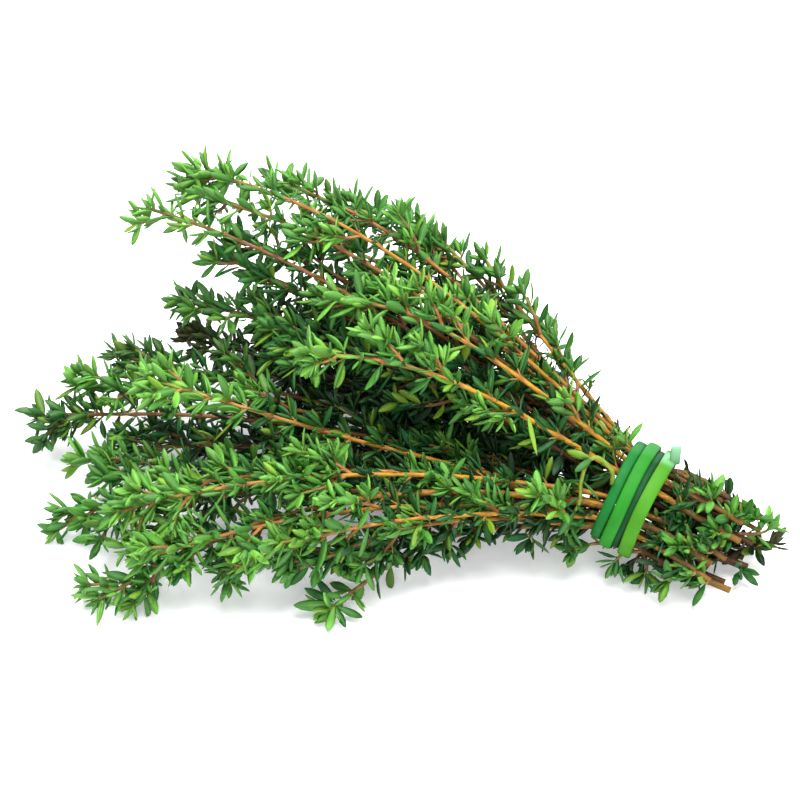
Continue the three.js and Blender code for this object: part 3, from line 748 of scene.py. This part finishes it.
def allowed(points):
    """True for each leaf that stays clear of the band and inside the solids' box."""
    low, high = np.array(cad_box) / MM - PLACE
    spare = LIMIT * (high - low)
    inside = ((points > low - spare) & (points < high + spare)).all((1, 2))
    shift = points - TIE
    beside = np.abs(shift @ AXIS) < BAND_HALF + BAND_SPARE
    rise, side = shift @ RISE / (TIE_RISE + BAND_ROUND), shift @ SIDE / (TIE_SIDE + BAND_ROUND)
    return inside & ~(beside & (rise ** 2 + side ** 2 < 1)).any(1)


def add_object(name, data, location=(0, 0, 0), rotation=(0, 0, 0)):
    made = bpy.data.objects.new(name, data)
    made.location, made.rotation_euler = location, rotation
    bpy.context.scene.collection.objects.link(made)
    return made


class Mesh:
    """Collects vertices, faces, what colours them and their places on the bake's map, and makes the piece.
    grow holds tone, age or a stem's youth, share of underside or cut face, and wither; blade holds places
    across and along, and how near a node is."""

    def __init__(self):
        self.points, self.grow, self.blade, self.faces, self.places = [], [], [], [], []
        self.count = 0

    def add(self, points, grow, blade, faces, places):
        self.points.append(points)
        self.grow.append(grow)
        self.blade.append(blade)
        self.faces += [[self.count + vertex for vertex in face] for face in faces]
        self.places += places
        self.count += len(points)

    def piece(self, name, material, slot, node):
        mesh = bpy.data.meshes.new(name)
        mesh.from_pydata(((joined(self.points) + PLACE) * MM).tolist(), [], self.faces)
        grow = mesh.attributes.new("grow", "FLOAT_COLOR", "POINT")
        blade = mesh.attributes.new("blade", "FLOAT_VECTOR", "POINT")
        layer = mesh.uv_layers.new(name="OFBake")
        filled = (grow, "color", self.grow), (blade, "vector", self.blade), (layer, "uv", self.places)
        for target, field, rows in filled:
            target.data.foreach_set(field, joined(rows).astype(np.float32).ravel())
        mesh.polygons.foreach_set("use_smooth", np.ones(len(mesh.polygons), bool))
        mesh.materials.append(material)
        piece = add_object(name, mesh)
        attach(piece, "root")
        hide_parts(node)


def cell_places(places, column, row, columns, rows):
    """The corners of one leaf in its own cell of the bake's map."""
    scale = 1 - 2 * CELL_GAP
    return [
        [((column + CELL_GAP + scale * x) / columns, (row + CELL_GAP + scale * y) / rows) for x, y in corners]
        for corners in places
    ]


def leaf_piece(sprig, material, stems):
    data = np.array(sprig.leaves, LEAF)
    # Painted shade: leaves under other stems are aged, which darkens them.
    data["age"] = np.clip(data["age"] + PAINTED_SHADE_LEAVES * shade_under_stems(data["root"], stems), 0, 1)
    large = data["length"] > LARGE_FROM
    groups = []
    for leaves, shape in ((data[large], LARGE_LEAF), (data[~large], SMALL_LEAF)):
        points = leaf_points(leaves, shape)
        kept = allowed(points)
        groups.append((leaves[kept], points[kept], leaf_skin(shape)))
    number = sum(len(leaves) for leaves, _, _ in groups)
    columns = math.ceil(math.sqrt(number * CELL_SHAPE))
    rows = math.ceil(number / columns)
    mesh, cell = Mesh(), 0
    for leaves, points, (faces, places, blade, under) in groups:
        for leaf, corners in zip(leaves, points):
            grow = [(leaf["tone"], leaf["age"], below, leaf["wither"]) for below in under]
            spots = cell_places(places, cell % columns, cell // columns, columns, rows)
            mesh.add(corners, grow, blade, faces, spots)
            cell += 1
    mesh.piece(f"thyme_leaves_{sprig.number:02d}", material, "thyme", f"sprig_{sprig.number:02d}")


# ---- Stems as meshes

SIDES_MAIN, SIDES_SIDE, SIDES_TUFT, TUFT_POINTS = 8, 5, 4, 3
NODE_SWELL, NODE_WIDE = 0.28, 0.9
STEM_SQUARE, STEM_LEAST = 0.07, 0.02
TONE_VARIES, TONE_STEP = 0.3, 0.618
# The cut end from its middle: the pith, which has dried a little inward, a flat ring and a rim. Each ring has
# its size and how far out it is, as shares of the stem's, its share of cut face and its place on the map.
PITH_DEPTH, PITH_CUT = 0.35, 0.7
CUT_RINGS = ((0.26, -0.3, 0.85, 0.004), (0.42, 0.13, 1.0, 0.012), (0.9, 0.1, 0.6, 0.02))
WALL_FROM, WALL_LONG, STRIP_GAP = 0.03, 0.94, 0.05


def tube_rings(tube, sides):
    """Rings of a slightly square stem that swells where leaves leave it, its directions and reach, and how
    near each ring is to such a place."""
    line, reach = tube.line, lengths(tube.line)
    near = np.exp(-((reach[:, None] - np.array(tube.nodes)) / NODE_WIDE) ** 2)
    forward = units(np.gradient(line, axis=0))
    right = units(np.cross(forward, UP))
    up = np.cross(right, forward)
    turn = 2 * math.pi * (np.arange(sides) + 0.5) / sides
    size = (tube.radii * (1 + NODE_SWELL * np.minimum(near.sum(1), 1)))[:, None]
    size = size * (1 + STEM_SQUARE * np.cos(4 * turn))
    rings = line[:, None] + right[:, None] * (np.cos(turn) * size)[..., None]
    rings = rings + up[:, None] * (np.sin(turn) * size)[..., None]
    lift_to(rings, STEM_LEAST)
    return rings, forward, reach, near.max(1, initial=0.0)


def add_tube(mesh, tube, tones, strip, strips):
    """One stem or shoot, closed at both ends, in its own strip of the bake's map."""
    sides = SIDES_SIDE if len(tube.line) > TUFT_POINTS else SIDES_TUFT
    if tube.main:
        sides = SIDES_MAIN
    rings, forward, reach, near = tube_rings(tube, sides)
    share, start, back = reach / reach[-1], tube.line[0], forward[0] * tube.radii[0]
    # Levels from the start: vertices, row of the course, share of cut face and place along the map.
    levels = [(ring, row, 0, WALL_FROM + WALL_LONG * share[row]) for row, ring in enumerate(rings)]
    first = (start[None], 0, 0, 0)
    if tube.main:
        first = ((start + back * PITH_DEPTH)[None], 0, PITH_CUT, 0)
        levels = [
            (mix(start, rings[0], scale) - back * out, 0, cut, place)
            for scale, out, cut, place in CUT_RINGS
        ] + levels
    tip = tube.line[-1] + forward[-1] * tube.radii[-1]
    levels = [first, *levels, (tip[None], -1, 0, 1)]
    grow, blade = [], []
    for points, row, cut, _ in levels:
        shade = (tones[row], mix(*tube.youth, share[row]), cut, tube.wither * share[row])
        grow += [shade] * len(points)
        blade += [(j / sides, reach[row], near[row]) for j in range(len(points))]
    # The skin turned inside out, because the rings of a stem run the other way round than those of a leaf.
    corners = [face[:1] + face[:0:-1] for face in skin(len(levels) - 2, sides)]
    faces = [[vertex for vertex, _, _ in face] for face in corners]
    low, high = (strip + STRIP_GAP) / strips, (strip + 1 - STRIP_GAP) / strips
    places = [[(levels[y][3], mix(low, high, x / sides)) for _, x, y in face] for face in corners]
    mesh.add(joined([level[0] for level in levels]), grow, blade, faces, places)


def stem_piece(sprig, material, stems):
    mesh = Mesh()
    for index, tube in enumerate(sprig.tubes):
        tone = float(np.clip(sprig.orange + TONE_VARIES * ((index * TONE_STEP) % 1 - 0.5), 0, 1))
        # Painted shade: bark under other stems loses its orange tone and turns dark.
        tones = tone * (1 - PAINTED_SHADE_BARK * shade_under_stems(tube.line, stems))
        add_tube(mesh, tube, tones, index, len(sprig.tubes))
    mesh.piece(f"thyme_stem_{sprig.number:02d}", material, "thyme", f"sprig_{sprig.number:02d}")


# ---- Rubber band

BAND_ROWS, BAND_RING, BAND_MAP_ROWS = 84, 14, 8
BAND_ACROSS_POWER, BAND_OUT_POWER = 0.62, 0.9
BAND_WAVE, BAND_WAVES = 0.14, 3
# Each turn's painted light, from shaded to lit, and its width and thickness as shares of the solid's.
TURN_LOOKS = [(0.3, 0.95, 1.2), (0.05, 0.8, 1.1), (1.0, 1.22, 1.25), (0.72, 1.12, 1.2)]
# Painted highlight: where the turns pale near the tab's angle, and how much on the tab's turn and on the
# others.
PALE_FROM, PALE_TO, PALE_TAB, PALE_PLAIN = 0.965, 1.0, 0.6, 0.08
LOOP_ROWS, LOOP_THICK, LOOP_RISE, LOOP_SHIFT, LOOP_FLAT, LOOP_SUNK = 24, 0.4, 1.8, -1.5, 3, 0.3
WOUND_MAP, LOOP_MAP = (0.0, 0.9), (0.92, 1.0)


def band_section(width, thick):
    """A flat strap's section with round edges: (across, outward) pairs."""
    turn = 2 * math.pi * (np.arange(BAND_RING) + 0.5) / BAND_RING
    across = np.sign(np.cos(turn)) * np.abs(np.cos(turn)) ** BAND_ACROSS_POWER * width / 2
    out = np.sign(np.sin(turn)) * np.abs(np.sin(turn)) ** BAND_OUT_POWER * thick / 2
    return across[:, None], out[:, None]


def band_place(turns):
    """Angle, place along the axis, height and looks at a place, in turns, on the closed band."""
    turn = int(turns) % len(TURNS)
    after = (turn + 1) % len(TURNS)
    halves = 2 * (turns - int(turns))
    cross = smoothstep(halves, CROSS_FROM, CROSS_TO)
    places, looks = (mix(rows[turn], rows[after], cross) for rows in map(np.array, (TURNS, TURN_LOOKS)))
    return BAND_START + math.pi * halves, *places, looks, turn


def sweep(mesh, rows, low, high):
    """A closed strap through rows of centre, outward and axis directions, width, thickness and colours, which
    has the bake's map between the heights low and high, in rows one over another."""
    count = len(rows)
    points, grow, faces, places = [], [], [], []
    edges = STRIP_GAP + (1 - 2 * STRIP_GAP) * np.arange(BAND_RING + 1) / BAND_RING
    for i, (centre, outward, axis, width, thick, colours) in enumerate(rows):
        across, out = band_section(width, thick)
        points.append(centre + axis * across + outward * out)
        grow += [colours] * BAND_RING
        part, x0 = divmod(i * BAND_MAP_ROWS / count, 1)
        x1 = min(x0 + BAND_MAP_ROWS / count, 1)
        heights = mix(low, high, (part + edges) / BAND_MAP_ROWS)
        here, there = i * BAND_RING, (i + 1) % count * BAND_RING
        for j in range(BAND_RING):
            k, y0, y1 = (j + 1) % BAND_RING, heights[j], heights[j + 1]
            faces.append((here + j, here + k, there + k, there + j))
            places.append(((x0, y0), (x0, y1), (x1, y1), (x1, y0)))
    mesh.add(joined(points), grow, np.zeros((count * BAND_RING, 3)), faces, places)


def around_tie(angle, shift, height):
    """A place on the band's middle and the direction outward there."""
    middle = TIE + AXIS * shift
    rise = (TIE_RISE + 0.5 * BAND_THICK + height) * math.cos(angle)
    side = (TIE_SIDE + 0.5 * BAND_THICK + height) * math.sin(angle)
    centre = middle + RISE * rise + SIDE * side
    return centre, unit(centre - middle)


def wound_rows():
    draw = Draws(BAND_SEED)
    phases = [draw(0, 2 * math.pi) for _ in TURNS]
    rows = []
    for i in range(BAND_ROWS * len(TURNS)):
        angle, shift, height, (tone, wide, deep), turn = band_place(i / BAND_ROWS)
        wave = BAND_WAVE * math.sin(BAND_WAVES * angle + phases[turn])
        centre, outward = around_tie(angle, shift + wave, height)
        # Painted highlight: each turn pales near the top of the tie, the tab's turn most.
        pale = smoothstep(math.cos(angle - TAB_ANGLE), PALE_FROM, PALE_TO)
        pale *= PALE_TAB if turn == TAB_TURN else PALE_PLAIN
        rows.append((centre, outward, AXIS, BAND_WIDTH * wide, BAND_THICK * deep, (tone, 0.0, pale, 0.0)))
    return rows


def loop_rows():
    """The doubled end stands up at the top of one turn as a flattened loop, with a painted highlight that
    makes it paler towards its top.
    """
    shift, height = TURNS[TAB_TURN]
    foot, _ = around_tie(TAB_ANGLE, shift + LOOP_SHIFT, height)
    rows = []
    for i in range(LOOP_ROWS):
        turn = 2 * math.pi * i / LOOP_ROWS
        depth, rise = math.sin(turn), -math.cos(turn)
        risen = (rise + 1) / 2
        high = risen * (TAB_HEIGHT - 2 * LOOP_THICK + LOOP_RISE) - LOOP_SUNK * TAB_DEPTH
        centre = foot + np.array([0, depth * (TAB_DEPTH - LOOP_THICK) / 2, high])
        outward = unit(np.array([0, depth * LOOP_FLAT, rise]))
        colours = (1.0, 0.0, mix(PALE_TAB, 1, risen), 0.0)
        rows.append((centre, outward, np.array([-1.0, 0, 0]), TAB_WIDTH, LOOP_THICK, colours))
    return rows


def band_piece(material):
    mesh = Mesh()
    sweep(mesh, wound_rows(), *WOUND_MAP)
    sweep(mesh, loop_rows(), *LOOP_MAP)
    mesh.piece("rubber_band_wound", material, "rubber_band", "rubber_band")


# ---- Materials

class Shader:
    """Short names for the nodes of one material."""

    def __init__(self, name):
        self.material = bpy.data.materials.new(name)
        self.material.use_nodes = True
        self.tree = self.material.node_tree

    def fill(self, node, inputs):
        for key, value in inputs.items():
            socket = node.inputs[key]
            if isinstance(value, bpy.types.NodeSocket):
                self.tree.links.new(value, socket)
            else:
                socket.default_value = (*value, 1.0) if socket.type == "RGBA" else value

    def surface(self, inputs):
        """Sets the shader's own sockets, which finishes the material."""
        self.fill(self.tree.nodes["Principled BSDF"], inputs)
        return self.material

    def node(self, kind, inputs, **settings):
        made = self.tree.nodes.new("ShaderNode" + kind)
        for key, value in settings.items():
            setattr(made, key, value)
        self.fill(made, inputs)
        return made.outputs

    def math(self, operation, a, b=0.0, clamp=False):
        return self.node("Math", {0: a, 1: b}, operation=operation, use_clamp=clamp)[0]

    def times(self, a, b):
        return self.math("MULTIPLY", a, b)

    def jitter(self, value, noise, amount):
        """The value plus or minus the noise, kept between 0 and 1."""
        return self.math("ADD", value, self.times(self.math("SUBTRACT", noise, 0.5), amount), clamp=True)

    def blend(self, factor, a, b, kind="MIX"):
        return self.node("Mix", {0: factor, 6: a, 7: b}, data_type="RGBA", blend_type=kind)[2]

    def ramp(self, factor, *stops):
        made = self.tree.nodes.new("ShaderNodeValToRGB")
        elements = made.color_ramp.elements
        while len(elements) < len(stops):
            elements.new(0.5)
        for element, (place, colour) in zip(elements, stops):
            element.position = place
            element.color = (*colour, 1.0)
        self.fill(made, {0: factor})
        return made.outputs[0]

    def range(self, value, low, high, to_low=0.0, to_high=1.0):
        return self.node("MapRange", {0: value, 1: low, 2: high, 3: to_low, 4: to_high})[0]

    def noise(self, vector, scale, detail=2.0, rough=0.5):
        inputs = {"Vector": vector, "Scale": scale, "Detail": detail, "Roughness": rough}
        return self.node("TexNoise", inputs)[0]

    def attribute(self, name):
        """The attribute's three numbers and its fourth."""
        made = self.node("Attribute", {}, attribute_name=name)
        return *self.node("SeparateXYZ", {0: made["Vector"]}), made["Alpha"]

    def place(self):
        return self.node("TexCoord", {})["Object"]

    def bump(self, height, strength, distance):
        return self.node("Bump", {"Height": height, "Strength": strength, "Distance": distance})[0]


# Ramps of colour: leaves from young to old, where age also holds painted shade, bark from old to young and
# rubber from painted shade to painted light.
LEAF_GREENS = (
    (0.0, (0.145, 0.37, 0.045)), (0.2, (0.056, 0.205, 0.02)), (0.5, (0.015, 0.095, 0.013)),
    (1.0, (0.002, 0.014, 0.0035)),
)
YELLOW_GREEN, BLUE_GREEN = (0.16, 0.27, 0.014), (0.006, 0.08, 0.022)
RIB_GREEN, EDGE_GREEN = (0.14, 0.3, 0.05), (0.1, 0.26, 0.035)
ROOT_GREEN, UNDER_GREEN = (0.1, 0.15, 0.03), (0.06, 0.16, 0.035)
BROWNS = (0.3, (0.012, 0.01, 0.004)), (0.7, (0.055, 0.042, 0.014))
DARK_BARK = (
    (0.0, (0.035, 0.014, 0.007)), (0.3, (0.08, 0.03, 0.012)), (0.6, (0.13, 0.05, 0.017)),
    (0.85, (0.18, 0.078, 0.036)), (1.0, (0.09, 0.15, 0.025)),
)
ORANGE_BARK = (
    (0.0, (0.2, 0.1, 0.012)), (0.12, (0.12, 0.06, 0.012)), (0.22, (0.46, 0.23, 0.012)),
    (0.6, (0.52, 0.25, 0.016)), (0.85, (0.4, 0.18, 0.055)), (1.0, (0.2, 0.3, 0.025)),
)
NODE_BROWN, DEAD_BROWN = (0.07, 0.03, 0.018), (0.03, 0.02, 0.01)
PITH = (0.3, (0.3, 0.17, 0.045)), (0.7, (0.55, 0.4, 0.18))
RUBBER_PAINTED_SHADE_TO_LIGHT = (
    (0.0, (0.001, 0.03, 0.007)), (0.3, (0.002, 0.115, 0.014)), (0.72, (0.012, 0.165, 0.009)),
    (1.0, (0.042, 0.19, 0.006)),
)
RUBBER_PAINTED_HIGHLIGHT = (0.2, 0.42, 0.25)
STREAKS = (0.36, (0.5, 0.5, 0.5)), (0.6, (1.0, 1.0, 1.0))
RUBBER_PATCHES = (0.35, (0.8, 0.8, 0.8)), (0.65, (1.0, 1.0, 1.0))
FLOOR_TINTS = (0.3, (0.86, 0.87, 0.88)), (0.7, (0.88, 0.885, 0.89))


def leaf_material():
    """Green by age and tone, with a rib, lighter edges and underside, and brown where it has withered. Its age
    also holds painted shade.
    """
    s = Shader("thyme_leaf")
    tone, age, under, wither = s.attribute("grow")
    across, along, _, _ = s.attribute("blade")
    place = s.place()
    off_middle = s.math("ABSOLUTE", across)
    aged = s.jitter(age, s.noise(place, 260, 3), 0.5)
    yellowed = s.blend(s.range(tone, 0.84, 1.0, 0.0, 0.8), s.ramp(aged, *LEAF_GREENS), YELLOW_GREEN)
    cooled = s.blend(s.range(tone, 0.35, 0.0, 0.0, 0.6), yellowed, BLUE_GREEN)
    young = s.range(aged, 0.75, 0.2, 0.15, 1.0)
    rib = s.times(s.range(off_middle, 0.05, 0.22, 0.55, 0.0), s.range(along, 0.55, 0.98, 1.0, 0.0))
    ribbed = s.blend(s.times(rib, young), cooled, RIB_GREEN)
    edged = s.blend(s.times(s.range(off_middle, 0.72, 1.0, 0.0, 0.4), young), ribbed, EDGE_GREEN)
    root = s.blend(s.times(s.range(along, 0.0, 0.2, 0.6, 0.0), young), edged, ROOT_GREEN)
    below = s.blend(s.times(s.range(under, 0.1, 0.5, 0.0, 0.75), young), root, UNDER_GREEN)
    veins = s.math("SINE", s.math("ADD", s.times(along, 46.0), s.times(off_middle, -9.0)))
    height = s.math("ADD", s.times(veins, 0.35), s.noise(place, 2600, 2))
    return s.surface({
        "Base Color": s.blend(wither, below, s.ramp(s.noise(place, 500, 2), *BROWNS)),
        "Roughness": s.range(s.noise(place, 900, 2), 0.3, 0.7, 0.4, 0.6),
        "Normal": s.bump(height, 0.25, 0.00012),
        "Specular IOR Level": 0.22,
    })


def stem_material():
    """Bark by youth and tone in long streaks, darker at the nodes, with the pith in its cut ends. Its tone
    also holds painted shade.
    """
    s = Shader("thyme_stem")
    tone, youth, cut, wither = s.attribute("grow")
    around, along, near, _ = s.attribute("blade")
    stretched = {0: s.times(around, 5.0), 1: s.times(along, 0.28), 2: s.times(tone, 9.0)}
    streak = s.noise(s.node("CombineXYZ", stretched)[0], 2.4, 3, 0.6)
    varied = s.jitter(youth, streak, 0.3)
    bark = s.blend(tone, s.ramp(varied, *DARK_BARK), s.ramp(varied, *ORANGE_BARK))
    shaded = s.blend(0.75, bark, s.ramp(streak, *STREAKS), "MULTIPLY")
    node = s.blend(s.times(near, 0.55), shaded, NODE_BROWN)
    ended = s.blend(cut, node, s.ramp(s.noise(s.place(), 900, 2), *PITH))
    return s.surface({
        "Base Color": s.blend(wither, ended, DEAD_BROWN),
        "Roughness": s.range(streak, 0.3, 0.7, 0.62, 0.42),
        "Normal": s.bump(streak, 0.5, 0.0003),
        "Specular IOR Level": 0.2,
    })


def band_material():
    s = Shader("band_rubber")
    tone, _, pale, _ = s.attribute("grow")
    place = s.place()
    patches = s.ramp(s.noise(place, 150, 3), *RUBBER_PATCHES)
    # Painted light: each turn's tone makes it look lit or shaded.
    shaded = s.blend(1.0, s.ramp(tone, *RUBBER_PAINTED_SHADE_TO_LIGHT), patches, "MULTIPLY")
    # The third grow value is a painted highlight that pales the rubber.
    return s.surface({
        "Base Color": s.blend(pale, shaded, RUBBER_PAINTED_HIGHLIGHT),
        "Roughness": s.range(s.noise(place, 700, 3), 0.3, 0.7, 0.55, 0.7),
        "Normal": s.bump(s.noise(place, 1500, 2), 0.15, 0.0001),
        "Specular IOR Level": 0.16,
    })


def floor_material():
    s = Shader("floor_pale")
    return s.surface({
        "Base Color": s.ramp(s.noise(s.place(), 3, 2), *FLOOR_TINTS),
        "Roughness": 0.85,
        "Specular IOR Level": 0.2,
        "Emission Color": (1, 1, 1),
        "Emission Strength": 0.22,
    })


# ---- Scene, in metres

CAMERA_PLACE, CAMERA_TILT = (0.003018, -0.397421, 0.356528), math.radians(50)
CAMERA_LENS, CAMERA_SENSOR, CAMERA_NEAR, CAMERA_FAR = 100, 36, 0.01, 20
FLOOR_SIZE = 4
LIGHTS_AIM = 0.03  # the height that the lights look at, over the origin
LIGHTS = (
    ("key", (0.1, 0.1, 1.0), 0.9, 29.5),
    ("fill", (0.1, -0.95, 0.35), 1.0, 10),
    ("rim", (-0.1, 0.8, 0.6), 0.6, 4),
)
SKY_COLOUR, SKY_STRENGTH = (0.95, 0.98, 1.0, 1), 0.54


def add_camera():
    data = bpy.data.cameras.new("camera")
    data.lens, data.sensor_width = CAMERA_LENS, CAMERA_SENSOR
    data.clip_start, data.clip_end = CAMERA_NEAR, CAMERA_FAR
    bpy.context.scene.camera = add_object("camera", data, CAMERA_PLACE, (CAMERA_TILT, 0, 0))


def add_floor():
    mesh = bpy.data.meshes.new("floor")
    corners = [(x * FLOOR_SIZE, y * FLOOR_SIZE, 0) for x, y in ((-1, -1), (1, -1), (1, 1), (-1, 1))]
    mesh.from_pydata(corners, [], [(0, 1, 2, 3)])
    mesh.materials.append(floor_material())
    add_object("floor", mesh)


def add_light(name, place, size, power):
    """A square soft light that looks at the bundle."""
    data = bpy.data.lights.new(name, "AREA")
    data.size, data.energy = size, power
    tilt = math.atan2(math.hypot(place[0], place[1]), place[2] - LIGHTS_AIM)
    turn = math.atan2(place[1], place[0]) + QUARTER
    add_object(name, data, place, (tilt, 0, turn))


def add_sky():
    world = bpy.data.worlds.new("studio")
    world.use_nodes = True
    background = world.node_tree.nodes["Background"]
    background.inputs["Color"].default_value = SKY_COLOUR
    background.inputs["Strength"].default_value = SKY_STRENGTH
    bpy.context.scene.world = world
    bpy.context.scene.view_settings.view_transform = "Standard"


add_camera()
add_floor()
add_sky()
for light in LIGHTS:
    add_light(*light)
leaf_green, stem_bark, rubber = leaf_material(), stem_material(), band_material()
lines, radii, shoots = stem_courses()
for index in range(len(SPRIGS)):
    sprig = grow(index + 1, lines[index], radii[index], shoots[index])
    add_strays(sprig)
    leaf_piece(sprig, leaf_green, lines.reshape(-1, 3))
    stem_piece(sprig, stem_bark, lines.reshape(-1, 3))
band_piece(rubber)
